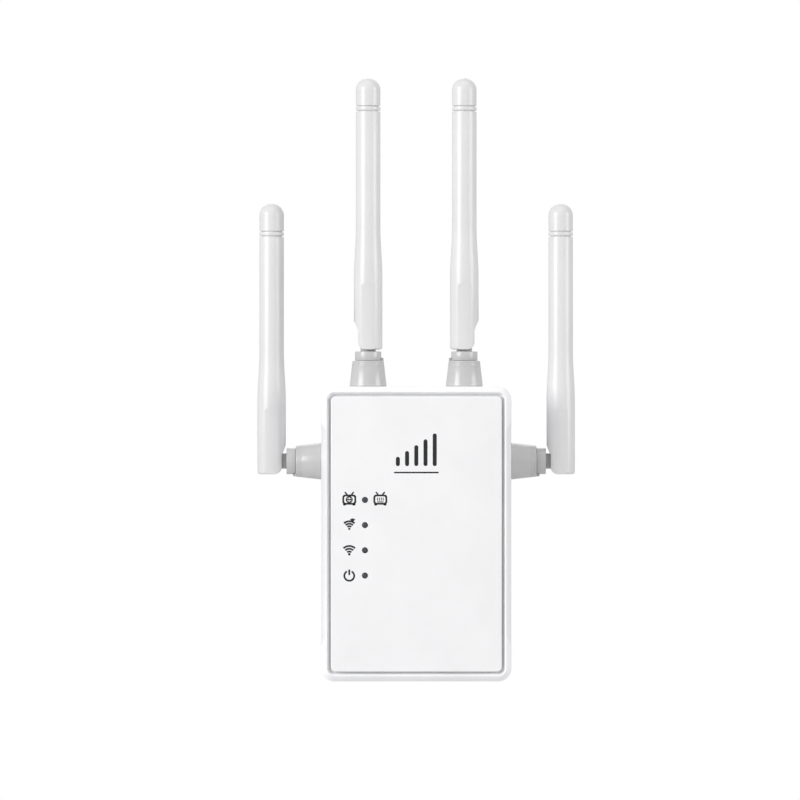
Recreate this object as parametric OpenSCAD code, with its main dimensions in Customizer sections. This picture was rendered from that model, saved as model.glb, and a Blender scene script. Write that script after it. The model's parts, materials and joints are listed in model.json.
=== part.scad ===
// Plug-in wifi range extender with four folding antennas.
// Millimetres. The plug face is at y = 0, its pins point to +Y, the front faces -Y and +Z is up.
// x = 0 and z = 0 lie midway between the two pins.

/* [Casing] */
// Width across the sides
casing_width = 62; // [50:1:80]
// Height without the antennas
casing_height = 96; // [84:1:124]
// Depth from the back to the face of the front panel
casing_depth = 30; // [28:1:40]
// Radius of the four long corners
corner_radius = 4.3; // [2:0.1:8]
// Thickness of the moulded walls
wall = 2; // [1.6:0.1:2.5]
// How far the middle of the casing is below the plug
plug_rise = 6; // [0:1:12]
// Width of the bevel around the front rim
rim_bevel = 1.7; // [0.8:0.1:2.5]
// How far the covers overlap at the seam
lip_height = 1.5; // [1:0.1:2.5]

/* [Front panel] */
// Distance from the casing's side to the panel's edge
panel_margin = 3.2; // [2.6:0.1:5]
// Thickness of the panel
panel_thickness = 1.6; // [1:0.1:2.5]
// How far the panel stands out in front of the rim
panel_proud = 0.4; // [0:0.1:1]
// Depth of the shadow groove around the panel
groove_depth = 1.8; // [0.5:0.1:2]
// Corner radius of the panel
panel_corner = 1.6; // [0.5:0.1:4]

/* [Status lights] */
// Diameter of each light
light_diameter = 1.9; // [1.5:0.1:3]
// Distance from one light to the next
light_pitch = 8.2; // [6:0.1:10]
// Distance of the lights from the panel's left edge
light_inset = 11.1; // [8:0.1:14]
// Height of the top light above the middle of the casing
light_top = 11.1; // [5:0.1:16]

/* [Side grips] */
// Length of the long cut along each front edge
grip_length = 75; // [50:1:80]
// Length of the cut's tapered ends
grip_taper = 4; // [2:0.5:8]
// Depth of the cut from the rim towards the back
grip_depth = 8.5; // [6:0.5:8.5]

/* [Antennas] */
// Distance of the top antennas from the middle
top_antenna_offset = 15.7; // [14:0.1:18]
// Distance of the side antennas below the casing's top
side_antenna_drop = 24.4; // [20:0.1:30]
// Depth of the top antennas behind the panel's face
top_antenna_depth = 10.8; // [10:0.1:11.5]
// Depth of the side antennas behind the panel's face
side_antenna_depth = 21; // [20.8:0.1:21.5]
// Length of the moving whip
whip_length = 88.7; // [70:0.1:120]
// Diameter of the whip at its hinge
whip_diameter = 9.3; // [9:0.1:9.6]
// Diameter of the whip at its tip
tip_diameter = 8; // [7.4:0.1:8.6]
// Height of the fixed cone on the casing
cone_height = 8.4; // [7:0.1:10]
// Diameter of the cone at the casing
cone_base_diameter = 12.1; // [11.6:0.1:13]
// Diameter of the cone's outer end
cone_end_diameter = 10.2; // [10:0.1:11]
// Diameter of the turning collar
collar_diameter = 8.6; // [8:0.1:8.8]
// Height of the turning collar
collar_height = 3; // [2:0.1:4]
// Distance from the collar to the hinge pin
hinge_rise = 4.9; // [4.9:0.1:6]

/* [Plug] */
// Distance between the two pins
pin_pitch = 19; // [18:0.1:19.2]
// Length of the pins outside the plug
pin_length = 19; // [18:0.5:20]
// Diameter of the bare pin ends
pin_diameter = 4; // [3.8:0.1:4.8]
// Length of the insulated part of each pin
sleeve_length = 10; // [8:0.5:11]
// How far the plug body stands out of the back
boss_height = 6; // [4:0.5:10]
// Width of the plug body
boss_width = 36; // [34:0.5:38]
// Height of the plug body
boss_thickness = 14; // [12:0.5:16]

/* [Sockets and buttons] */
// Distance between the two network sockets
socket_pitch = 17.5; // [16.5:0.1:19]
// Diameter of the pairing button
button_diameter = 4.4; // [4:0.1:5]
// Travel of the pairing button
button_travel = 0.6; // [0.3:0.1:0.8]
// Height of the pairing button below the plug
button_drop = 18; // [10:1:24]
// Diameter of the hole in front of the reset button
reset_hole = 2; // [1.5:0.1:2.2]
// Travel of the reset button
reset_travel = 0.5; // [0.3:0.1:0.6]

/* [Fits] */
// Gap around parts that turn in each other, on the radius
running_gap = 0.04; // [0.02:0.01:0.08]
// Gap around parts that are pressed or glued in, on the radius
seat_gap = 0.05; // [0.02:0.01:0.1]
// Gap between parts that move past each other
moving_gap = 0.3; // [0.3:0.05:0.4]

/* [Hidden] */
$fn = 64;

// casing planes
casing_side = casing_width / 2;
casing_middle = -plug_rise;
casing_top = casing_middle + casing_height / 2;
casing_bottom = casing_middle - casing_height / 2;
back_y = -boss_height;
panel_y = back_y - casing_depth;
rim_y = panel_y + panel_proud;
panel_back_y = panel_y + panel_thickness;
front_wall = wall - 0.3;
front_wall_y = panel_back_y + front_wall;
rear_wall_y = back_y - wall;
top_antenna_y = panel_y + top_antenna_depth;
side_antenna_y = panel_y + side_antenna_depth;
side_antenna_z = casing_top - side_antenna_drop;
seam_y = (top_antenna_y + side_antenna_y) / 2;
lip_thickness = wall / 2 - seat_gap;
back_bevel = 1.5;
inner_corner = 0.3;

// front panel and lights
panel_width = casing_width - 2 * panel_margin;
panel_height = casing_height - 2 * panel_margin;
groove_floor = 0.4;
rim_land = 0.1;
panel_edge = 0.35;
light_x = -panel_width / 2 + light_inset;
light_count = 4;
guide_bar = 1.4;
guide_width = 3;

// screws
screw_radius = 1.3;
screw_head_radius = 2.4;
screw_head_height = 1.6;
post_radius = 3.3;
head_y = back_y - 4;
post_bite = 0.5;
post_inset_x = wall + post_radius - post_bite;
post_inset_z = wall + post_radius + 1;
post_x = casing_side - post_inset_x;
post_places = [
    [-post_x, casing_top - post_inset_z], [post_x, casing_top - post_inset_z],
    [-post_x, casing_bottom + post_inset_z], [post_x, casing_bottom + post_inset_z]
];

// boards
board_thickness = 1.6;
board_clearance = 3;
board_y = front_wall_y + board_clearance;
board_rear_y = board_y + board_thickness;
board_side_gap = 0.4;
board_width = 2 * (post_x - post_radius - board_side_gap);
board_gap = 2.5;
board_bottom = casing_bottom + board_gap;
board_top = casing_top - 14;
chip_height = 1;
shield_width = 30;
shield_length = 24;
shield_height = 2.6;
shield_sheet = 0.3;
shield_z = board_top - shield_length / 2 - 4;
power_board_y = rear_wall_y - 3.8;
power_board_width = casing_width - 22;
power_board_bottom = casing_bottom + 30;
power_board_top = casing_top - 10;

// rear label
label_width = 36;
label_height = 16;
label_thickness = 0.2;
label_recess = 0.3;
label_z = casing_bottom + label_height / 2 + 7;

// antennas, in their own frame: z = 0 on the casing, the whip folds towards -X
spigot_radius = 4.2;
nut_height = 2;
nut_width = 11;
spigot_length = wall + nut_height + 0.4;
shaft_radius = 3;
snap_radius = 3.6;
snap_height = 1;
lead_bore = 1.2;
lug_height = 1;
lug_width = 2.4;
collar_radius = collar_diameter / 2;
collar_z = cone_height + seat_gap;
collar_top = collar_z + collar_height;
pivot_z = collar_top + hinge_rise;
tongue_width = 5;
tongue_thickness = 2.6;
pin_radius = 1;
slot_half = tongue_thickness / 2 + 0.2;
slot_reach = tongue_width / 2 + 0.6;
whip_radius = whip_diameter / 2;
tip_radius = tip_diameter / 2;
heel = hinge_rise - 0.6;
whip_top = whip_length - heel;
taper_start = whip_top - 65;
taper_end = whip_top - 48.6;
flat_length = 20.2 - heel;
flat_distance = 4.1;
notch_length = 9.6 - heel;
notch_start = 6.3 - heel;
notch_distance = 3.3;
notch_radius = 2.4;
notch_slope = (notch_length - notch_start) / (whip_radius - notch_distance);
heel_chamfer = 0.9;
cap_length = 9.1;
ring_spacing = 1.5;
ring_width = 0.4;
ring_depth = 0.35;
core_bore = 2.4;
core_bottom = 5.5;
feed_bore = 0.9;
cap_plug_length = 4;
cable_radius = 0.6;
dipole_radius = 1.9;
dipole_bottom = 12;
dipole_top = 40;
wire_top = whip_top - cap_length - cap_plug_length - 2;

// plug
sleeve_radius = 1.8;
pin_core_radius = 1.5;
pin_tail_radius = 0.8;
pin_nose = 1.2;
boss_flange = 1.6;
flange_margin = 2;

// sockets and buttons
socket_width = 16;
socket_depth = 13.4;
socket_length = 21;
socket_wall = 1.4;
plug_space_width = 11.9;
plug_space_height = 8.2;
latch_width = 6.2;
latch_height = 2.6;
socket_cavity = 15;
contact_count = 8;
contact_pitch = 1.02;
contact_wire = 0.45;
socket_x = -5;
button_y = board_rear_y + 3.9;
button_flange = 0.7;
stem_radius = 1.2;
button_z = -button_drop;
reset_x = post_x - 6.5;
reset_y = board_rear_y + 2.6;
plunger_radius = 1.2;
plunger_length = 5;
guide_radius = plunger_radius + 1;
guide_height = 3.5;

// ---- shared shapes ----

module rounded_outline(width, height, radius) {
    square([width - 2 * radius, height], center = true);
    square([width, height - 2 * radius], center = true);
    for (sx = [-1, 1], sz = [-1, 1])
        translate([sx * (width / 2 - radius), sz * (height / 2 - radius)])
            circle(r = radius);
}

// a slab with rounded corners around the casing's middle, from y0 to y1
module casing_slab(inset, y0, y1, radius) {
    translate([0, y1, casing_middle])
        rotate([90, 0, 0])
            linear_extrude(height = y1 - y0)
                rounded_outline(
                    casing_width - 2 * inset, casing_height - 2 * inset, max(radius, inner_corner)
                );
}

// a casing slab whose sides lean from one inset at y0 to another at y1;
// outer_radius is its corner radius at no inset, and its corners are cones
module leaning_slab(front_inset, back_inset, y0, y1, outer_radius) {
    front_radius = outer_radius - front_inset;
    back_radius = outer_radius - back_inset;
    half_x = casing_width / 2 - outer_radius;
    half_z = casing_height / 2 - outer_radius;
    translate([0, 0, casing_middle]) {
        linear_extrude(height = 2 * half_z, center = true)
            polygon([
                [-half_x - front_radius, y0], [half_x + front_radius, y0],
                [half_x + back_radius, y1], [-half_x - back_radius, y1]
            ]);
        rotate([90, 0, 90])
            linear_extrude(height = 2 * half_x, center = true)
                polygon([
                    [y0, -half_z - front_radius], [y0, half_z + front_radius],
                    [y1, half_z + back_radius], [y1, -half_z - back_radius]
                ]);
        for (sx = [-1, 1], sz = [-1, 1])
            translate([sx * half_x, y0, sz * half_z])
                rotate([-90, 0, 0])
                    cylinder(r1 = front_radius, r2 = back_radius, h = y1 - y0);
    }
}

// a box by its centre in x and z and its two ends in y
module board_block(x, z, width, height, y0, y1) {
    translate([x - width / 2, y0, z - height / 2])
        cube([width, y1 - y0, height]);
}

module along_y(x, z, radius, y0, y1) {
    translate([x, y1, z])
        rotate([90, 0, 0])
            cylinder(r = radius, h = y1 - y0);
}

module both_sides() {
    children();
    mirror([1, 0, 0]) children();
}

// ---- casing ----

// one leaning band, at 45 degrees all round
module rim_shape() {
    casing_slab(0, rim_y + rim_bevel, seam_y, corner_radius);
    leaning_slab(rim_bevel, 0, rim_y, rim_y + rim_bevel, corner_radius);
}

// a ring-shaped channel between the rim and the panel, wider at its mouth
module shadow_groove() {
    leaning_slab(
        rim_bevel + rim_land, panel_margin - groove_floor, rim_y - 0.1, rim_y + groove_depth,
        max(corner_radius, panel_margin)
    );
}

module panel_outline(y0, y1, gap) {
    casing_slab(panel_margin - gap, y0, y1, panel_corner + gap);
}

module side_grip() {
    cut = rim_bevel + 0.1;
    slope = [[0, 0], [cut, grip_depth], [cut, -1], [0, -1]];
    translate([casing_side - cut + 0.1, rim_y, casing_middle])
        hull() {
            linear_extrude(height = grip_length - 2 * grip_taper, center = true)
                polygon(slope);
            translate([cut, 0, 0])
                linear_extrude(height = grip_length, center = true)
                    polygon([[-0.2, -1], [0, 0.5], [0, -1]]);
        }
}

module antenna_holes() {
    both_sides() {
        on_top_left()
            translate([0, 0, -wall - 1])
                cylinder(r = spigot_radius + seat_gap, h = wall + 2);
        on_side_right()
            translate([0, 0, -wall - 1])
                cylinder(r = spigot_radius + seat_gap, h = wall + 2);
    }
}

module socket_holes() {
    gap = 0.3;
    for (side = [-1, 1])
        translate([
            socket_x + side * socket_pitch / 2 - socket_width / 2 - gap,
            board_rear_y - gap,
            casing_bottom - 1
        ])
            cube([socket_width + 2 * gap, socket_depth + 2 * gap, wall + 2]);
}

module front_cover() {
    color("#f4f5f6")
        difference() {
            union() {
                difference() {
                    rim_shape();
                    casing_slab(wall, front_wall_y, seam_y + 1, corner_radius - wall);
                }
                for (p = post_places)
                    along_y(p[0], p[1], post_radius, front_wall_y - 0.1, seam_y);
                translate([reset_x, reset_y, casing_bottom + wall - 0.1])
                    cylinder(r = guide_radius, h = guide_height + 0.1);
            }
            shadow_groove();
            panel_outline(rim_y - 1, panel_back_y, seat_gap);
            // step that takes the rear cover's lip
            difference() {
                casing_slab(wall / 2, seam_y - lip_height, seam_y + 1, corner_radius - wall / 2);
                for (p = post_places)
                    along_y(p[0], p[1], post_radius, seam_y - lip_height - 1, seam_y + 2);
            }
            for (p = post_places)
                along_y(p[0], p[1], screw_radius + seat_gap, front_wall_y + 2, seam_y + 1);
            for (i = [0 : light_count - 1])
                along_y(
                    light_x, casing_middle + light_top - i * light_pitch,
                    light_diameter / 2 + seat_gap, panel_y - 1, front_wall_y + 1
                );
            both_sides() side_grip();
            antenna_holes();
            socket_holes();
            translate([casing_side - wall - 1, button_y, button_z])
                rotate([0, 90, 0])
                    cylinder(d = button_diameter + 2 * moving_gap, h = wall + 2);
            translate([reset_x, reset_y, casing_bottom - 1])
                cylinder(d = reset_hole, h = wall + 2);
            translate([reset_x, reset_y, casing_bottom + wall])
                cylinder(r = plunger_radius + moving_gap, h = guide_height + 1);
        }
}

module front_panel() {
    color("#fbfbfc")
        difference() {
            union() {
                panel_outline(panel_y + panel_edge, panel_back_y, 0);
                leaning_slab(
                    panel_margin + panel_edge, panel_margin, panel_y, panel_y + panel_edge,
                    panel_margin + panel_corner
                );
            }
            for (i = [0 : light_count - 1])
                along_y(
                    light_x, casing_middle + light_top - i * light_pitch,
                    light_diameter / 2 + seat_gap, panel_y - 1, panel_back_y + 1
                );
        }
}

module boss_outline(grow) {
    square([boss_width - boss_thickness, boss_thickness + 2 * grow], center = true);
    for (sx = [-1, 1])
        translate([sx * (boss_width - boss_thickness) / 2, 0])
            circle(d = boss_thickness + 2 * grow);
}

module boss_block(grow, y0, y1) {
    translate([0, y1, 0])
        rotate([90, 0, 0])
            linear_extrude(height = y1 - y0)
                boss_outline(grow);
}

module vent_slots(z, count) {
    slot_pitch = 3.6;
    slot_width = 24;
    slot_height = 1.5;
    for (i = [0 : count - 1])
        board_block(
            0, z + (i - (count - 1) / 2) * slot_pitch,
            slot_width, slot_height, rear_wall_y - 1, back_y + 1
        );
}

module rear_cover() {
    color("#f1f2f3")
        difference() {
            union() {
                casing_slab(0, seam_y, back_y - back_bevel, corner_radius);
                leaning_slab(0, back_bevel, back_y - back_bevel, back_y, corner_radius);
                difference() {
                    casing_slab(
                        wall - lip_thickness, seam_y - lip_height + 0.1, seam_y + 0.1,
                        corner_radius - wall + lip_thickness
                    );
                    for (p = post_places)
                        along_y(
                            p[0], p[1], post_radius + seat_gap,
                            seam_y - lip_height - 1, seam_y
                        );
                }
            }
            difference() {
                casing_slab(wall, seam_y - lip_height - 1, rear_wall_y, corner_radius - wall);
                for (p = post_places)
                    along_y(p[0], p[1], post_radius, seam_y, rear_wall_y + 1);
            }
            boss_block(seat_gap, rear_wall_y - 1, back_y + 1);
            vent_slots(casing_top - 17, 4);
            vent_slots(-20, 3);
            for (p = post_places) {
                along_y(p[0], p[1], screw_radius + 0.2, seam_y - 3, back_y + 1);
                along_y(p[0], p[1], screw_head_radius + 0.3, head_y, back_y + 1);
            }
            antenna_holes();
            socket_holes();
            board_block(
                0, label_z, label_width + 0.4, label_height + 0.4,
                back_y - label_recess, back_y + 1
            );
        }
}

module rear_label() {
    color("#dcdedf")
        board_block(
            0, label_z, label_width, label_height,
            back_y - label_recess, back_y - label_recess + label_thickness
        );
}

module case_screws() {
    recess = 0.9;
    color("#8f9296")
        for (p = post_places)
            difference() {
                union() {
                    along_y(
                        p[0], p[1], screw_head_radius, head_y, head_y + screw_head_height
                    );
                    along_y(p[0], p[1], screw_radius, seam_y - 7, head_y);
                }
                for (turn = [0, 90])
                    translate([p[0], head_y + screw_head_height, p[1]])
                        rotate([0, turn, 0])
                            cube([0.6, 2 * recess, 2.8], center = true);
            }
}

// ---- plug ----

module plug_boss() {
    color("#eceded")
        difference() {
            union() {
                boss_block(0, rear_wall_y, 0);
                boss_block(flange_margin, rear_wall_y - boss_flange, rear_wall_y);
            }
            for (sx = [-1, 1])
                along_y(
                    sx * pin_pitch / 2, 0, sleeve_radius + seat_gap,
                    rear_wall_y - boss_flange - 1, 1
                );
        }
}

module plug_pin() {
    bare_y = sleeve_length;
    nose_y = pin_length - pin_nose;
    color("#c9ccd0") {
        rotate([-90, 0, 0])
            rotate_extrude()
                polygon([
                    [0, power_board_y - board_thickness - 1],
                    [pin_tail_radius, power_board_y - board_thickness - 1],
                    [pin_tail_radius, power_board_y],
                    [pin_core_radius, power_board_y],
                    [pin_core_radius, bare_y],
                    [pin_diameter / 2, bare_y],
                    [pin_diameter / 2, nose_y],
                    [pin_diameter / 2 - pin_nose * 0.6, pin_length],
                    [0, pin_length]
                ]);
    }
}

module plug_pin_left() translate([-pin_pitch / 2, 0, 0]) plug_pin();

module plug_pin_right() translate([pin_pitch / 2, 0, 0]) plug_pin();

module pin_sleeves() {
    color("#2b2c2e")
        for (sx = [-1, 1])
            difference() {
                along_y(
                    sx * pin_pitch / 2, 0, sleeve_radius,
                    rear_wall_y - boss_flange, sleeve_length
                );
                along_y(
                    sx * pin_pitch / 2, 0, pin_core_radius,
                    rear_wall_y - boss_flange - 1, sleeve_length + 1
                );
            }
}

// ---- lights and boards ----

module light_guide() {
    last = (light_count - 1) * light_pitch;
    color("#3a3b3d") {
        for (i = [0 : light_count - 1])
            along_y(
                light_x, casing_middle + light_top - i * light_pitch,
                light_diameter / 2, panel_y + 0.1, front_wall_y + guide_bar / 2
            );
        board_block(
            light_x, casing_middle + light_top - last / 2, guide_width,
            last + guide_width, front_wall_y, front_wall_y + guide_bar
        );
    }
}

module status_leds() {
    color("#e8e3c0")
        for (i = [0 : light_count - 1])
            board_block(
                light_x, casing_middle + light_top - i * light_pitch,
                1.6, 0.8, board_y - 0.7, board_y
            );
}

module main_board() {
    hole_inset = 3;
    color("#1f5c3d")
        difference() {
            board_block(
                0, (board_top + board_bottom) / 2, board_width, board_top - board_bottom,
                board_y, board_rear_y
            );
            for (sx = [-1, 1])
                along_y(
                    sx * (board_width / 2 - hole_inset), board_top - hole_inset, 1.6,
                    board_y - 1, board_rear_y + 1
                );
        }
}

module rf_shield() {
    vent_pitch = 3.4;
    color("#b9bcc0")
        difference() {
            board_block(
                0, shield_z, shield_width, shield_length,
                board_rear_y, board_rear_y + shield_height
            );
            board_block(
                0, shield_z, shield_width - 2 * shield_sheet, shield_length - 2 * shield_sheet,
                board_rear_y - 1, board_rear_y + shield_height - shield_sheet
            );
            for (ix = [-3 : 3], iz = [-2 : 2])
                along_y(
                    ix * vent_pitch, shield_z + iz * vent_pitch, 0.6,
                    board_rear_y + 1, board_rear_y + shield_height + 1
                );
        }
}

module processor_chip() {
    color("#26282a")
        board_block(-4, shield_z, 12, 12, board_rear_y, board_rear_y + chip_height);
}

module memory_chip() {
    color("#2c2e30")
        board_block(8, shield_z, 6, 8, board_rear_y, board_rear_y + chip_height);
}

module network_transformer() {
    color("#1d1f21")
        board_block(
            socket_x, casing_bottom + wall + socket_length + 9, 18, 9,
            board_rear_y, board_rear_y + 5.5
        );
}

// where each antenna's lead plugs into the main board
function lead_start(side, outer) = [
    side * (outer ? 18 : 12),
    board_rear_y + 1,
    outer ? shield_z - shield_length / 2 - 4 : board_top - 1.6
];

module aerial_sockets() {
    color("#c9a227")
        for (side = [-1, 1], outer = [false, true])
            let (p = lead_start(side, outer))
                along_y(p[0], p[2], 1.2, board_rear_y, board_rear_y + 1);
}

module network_socket(x) {
    inner_y = board_rear_y + (socket_depth - plug_space_height) / 2;
    difference() {
        board_block(
            x, casing_bottom + 0.3 + socket_length / 2, socket_width, socket_length,
            board_rear_y, board_rear_y + socket_depth
        );
        translate([x - plug_space_width / 2, inner_y, casing_bottom - 1])
            cube([plug_space_width, plug_space_height, socket_cavity + 1]);
        translate([x - latch_width / 2, inner_y + plug_space_height - 0.1, casing_bottom - 1])
            cube([latch_width, latch_height - 0.9, socket_cavity - 5]);
        // slot that holds the contact wires
        translate([x - contact_count * contact_pitch / 2, inner_y - 1.1, casing_bottom + 2])
            cube([contact_count * contact_pitch, 1.2, socket_cavity - 2]);
    }
}

module lan_socket() color("#34363a") network_socket(socket_x + socket_pitch / 2);

module wan_socket() color("#34363a") network_socket(socket_x - socket_pitch / 2);

module socket_contacts() {
    inner_y = board_rear_y + (socket_depth - plug_space_height) / 2;
    color("#d4af37")
        for (side = [-1, 1], i = [0 : contact_count - 1])
            translate([
                socket_x + side * socket_pitch / 2
                    + (i - (contact_count - 1) / 2) * contact_pitch,
                inner_y - 0.8,
                casing_bottom + 4
            ])
                union() {
                    translate([-contact_wire / 2, 0, 0])
                        cube([contact_wire, contact_wire, socket_cavity - 4]);
                    rotate([-38, 0, 0])
                        translate([-contact_wire / 2, 0, 0])
                            cube([contact_wire, contact_wire, 5.5]);
                }
}

module power_board() {
    color("#2b6a46")
        difference() {
            board_block(
                0, (power_board_top + power_board_bottom) / 2, power_board_width,
                power_board_top - power_board_bottom, power_board_y - board_thickness, power_board_y
            );
            for (sx = [-1, 1])
                along_y(
                    sx * pin_pitch / 2, 0, pin_tail_radius + seat_gap,
                    power_board_y - board_thickness - 1, power_board_y + 1
                );
        }
}

module on_power_board(x, z, width, height, tall) {
    front = power_board_y - board_thickness;
    board_block(x, z, width, height, front - tall, front);
}

module power_transformer() {
    front = power_board_y - board_thickness;
    color("#c8a13a") {
        on_power_board(3, 14, 16, 14, 3);
        on_power_board(3, 14, 12, 10, 11);
    }
    color("#3b3e42")
        on_power_board(3, 14, 17, 6, 10);
}

module capacitor(x, z, radius, tall) {
    front = power_board_y - board_thickness;
    difference() {
        along_y(x, z, radius, front - tall, front);
        rotate([90, 0, 0])
            translate([x, z, -front + tall - 1.6])
                rotate_extrude()
                    translate([radius + 0.2, 0])
                        circle(r = 0.6, $fn = 24);
    }
}

module input_capacitor() color("#2e3550") capacitor(-13, 22, 4, 11);

module output_capacitor() color("#35507a") capacitor(-12, 7, 3.2, 10);

module mains_fuse() {
    front = power_board_y - board_thickness;
    color("#5a4632")
        along_y(-14.5, -8, 3.6, front - 7, front);
}

module bridge_rectifier() color("#222426") on_power_board(1, -9, 7, 5, 2.6);

module noise_choke() {
    front = power_board_y - board_thickness;
    color("#8a4b2a")
        translate([12.5, front, -8])
            rotate([90, 0, 0])
                difference() {
                    cylinder(r = 4.4, h = 7);
                    translate([0, 0, 1.2])
                        difference() {
                            cylinder(r = 6, h = 4.6);
                            translate([0, 0, -1]) cylinder(r = 2.6, h = 7);
                        }
                }
}

module board_header() {
    pin_count = 4;
    header_pitch = 2;
    front = power_board_y - board_thickness;
    header_x = 12;
    header_z = power_board_bottom + 2.5;
    color("#e9e9e6")
        board_block(
            header_x, header_z, pin_count * header_pitch + 1, 2.4,
            board_rear_y, board_rear_y + 3
        );
    color("#c7b15a")
        for (i = [0 : pin_count - 1])
            board_block(
                header_x + (i - (pin_count - 1) / 2) * header_pitch, header_z,
                0.6, 0.6, board_rear_y + 2.9, front
            );
}

// ---- buttons ----

module pair_button() {
    cap_face = casing_side - 0.1;
    inner = casing_side - wall - moving_gap;
    stem_end = board_width / 2 + 1.4;
    color("#eef0f1")
        translate([0, button_y, button_z])
            rotate([0, 90, 0]) {
                translate([0, 0, inner - 0.1])
                    cylinder(d = button_diameter, h = cap_face - inner + 0.1);
                translate([0, 0, inner - button_flange])
                    cylinder(d = button_diameter + 2, h = button_flange);
                translate([0, 0, stem_end])
                    cylinder(r = stem_radius, h = inner - stem_end);
            }
}

module pair_switch() {
    body_x = board_width / 2 - 2.2;
    tip_x = board_width / 2 + 1.4 - button_travel - 0.05;
    color("#b4b7ba") {
        board_block(
            body_x, button_z, 3.6, 6, board_rear_y, board_rear_y + 5.6
        );
        translate([body_x, button_y, button_z])
            rotate([0, 90, 0])
                cylinder(r = 1, h = tip_x - body_x);
    }
}

module reset_button() {
    color("#d9dbdc")
        translate([reset_x, reset_y, casing_bottom + wall + moving_gap]) {
            cylinder(r = plunger_radius, h = plunger_length);
            translate([0, 0, guide_height + 1])
                cylinder(r = plunger_radius + 0.5, h = plunger_length - guide_height - 1);
        }
}

module reset_switch() {
    plunger_end = casing_bottom + wall + moving_gap + plunger_length;
    tip_z = plunger_end + reset_travel + 0.05;
    color("#b4b7ba") {
        board_block(reset_x, tip_z + 3, 4.6, 3.6, board_rear_y, board_rear_y + 4.2);
        translate([reset_x, reset_y, tip_z])
            cylinder(r = 0.8, h = 3);
    }
}

// ---- antennas ----

module on_top_left() translate([-top_antenna_offset, top_antenna_y, casing_top]) children();

module on_top_right() mirror([1, 0, 0]) on_top_left() children();

module on_side_right()
    translate([casing_side, side_antenna_y, side_antenna_z])
        rotate([0, 90, 0])
            children();

module on_side_left() mirror([1, 0, 0]) on_side_right() children();

// carries the whip's own frame, whose origin is on the hinge pin, to a fold angle
module folded(angle) translate([0, 0, pivot_z]) rotate([0, -angle, 0]) children();

module antenna_base() {
    color("#e9eaeb")
        difference() {
            union() {
                cylinder(d1 = cone_base_diameter, d2 = cone_end_diameter, h = cone_height);
                translate([0, 0, -spigot_length])
                    cylinder(r = spigot_radius, h = spigot_length + 0.1);
                // stop lug on the side away from the fold
                intersection() {
                    translate([collar_radius, -lug_width / 2, cone_height - 0.1])
                        cube([cone_end_diameter, lug_width, lug_height + 0.1]);
                    cylinder(d = cone_end_diameter, h = cone_height + lug_height);
                }
            }
            translate([0, 0, -spigot_length - 1])
                cylinder(r = shaft_radius + running_gap, h = cone_height + spigot_length + 2);
            translate([0, 0, cone_height])
                cylinder(r = collar_radius + 0.15, h = lug_height + 1);
        }
}

module antenna_nut() {
    color("#aeb2b6")
        translate([0, 0, -wall - nut_height])
            difference() {
                cylinder(d = nut_width / cos(30), h = nut_height, $fn = 6);
                translate([0, 0, -1])
                    cylinder(r = spigot_radius + seat_gap, h = nut_height + 2);
            }
}

module antenna_nuts() {
    on_top_left() antenna_nut();
    on_top_right() antenna_nut();
    on_side_left() antenna_nut();
    on_side_right() antenna_nut();
}

module antenna_swivel() {
    snap_z = -spigot_length - moving_gap - snap_height;
    color("#eeeff0")
        difference() {
            union() {
                translate([0, 0, collar_z])
                    cylinder(r = collar_radius, h = collar_height);
                translate([0, 0, snap_z])
                    cylinder(r = shaft_radius, h = collar_z - snap_z + 0.1);
                translate([0, 0, snap_z])
                    cylinder(r = snap_radius, h = snap_height);
                translate([-tongue_width / 2, -tongue_thickness / 2, collar_top - 0.1])
                    cube([tongue_width, tongue_thickness, hinge_rise + 0.1]);
                translate([0, tongue_thickness / 2, pivot_z])
                    rotate([90, 0, 0])
                        cylinder(d = tongue_width, h = tongue_thickness);
            }
            translate([0, 0, snap_z - 1])
                cylinder(r = lead_bore, h = collar_top - snap_z);
            translate([0, tongue_thickness, pivot_z])
                rotate([90, 0, 0])
                    cylinder(r = pin_radius + running_gap, h = 2 * tongue_thickness);
        }
}

// material on the fold side of the whip's foot: left of the notch's flat, under the slope that
// runs out to the whip's side and outside the foot's round corner
module notch_cut() {
    corner = [notch_radius - notch_distance, notch_radius - heel];
    reach = whip_diameter;
    past = 0.5;
    translate([0, reach, 0])
        rotate([90, 0, 0])
            linear_extrude(height = 2 * reach)
                difference() {
                    polygon([
                        [-reach, -heel - 1], [corner[0], -heel - 1],
                        [corner[0], corner[1]], [-notch_distance, corner[1]],
                        [-notch_distance, notch_start],
                        [-whip_radius - past, notch_length + past * notch_slope],
                        [-reach, notch_length + past * notch_slope]
                    ]);
                    translate(corner)
                        circle(r = notch_radius);
                }
}

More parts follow.
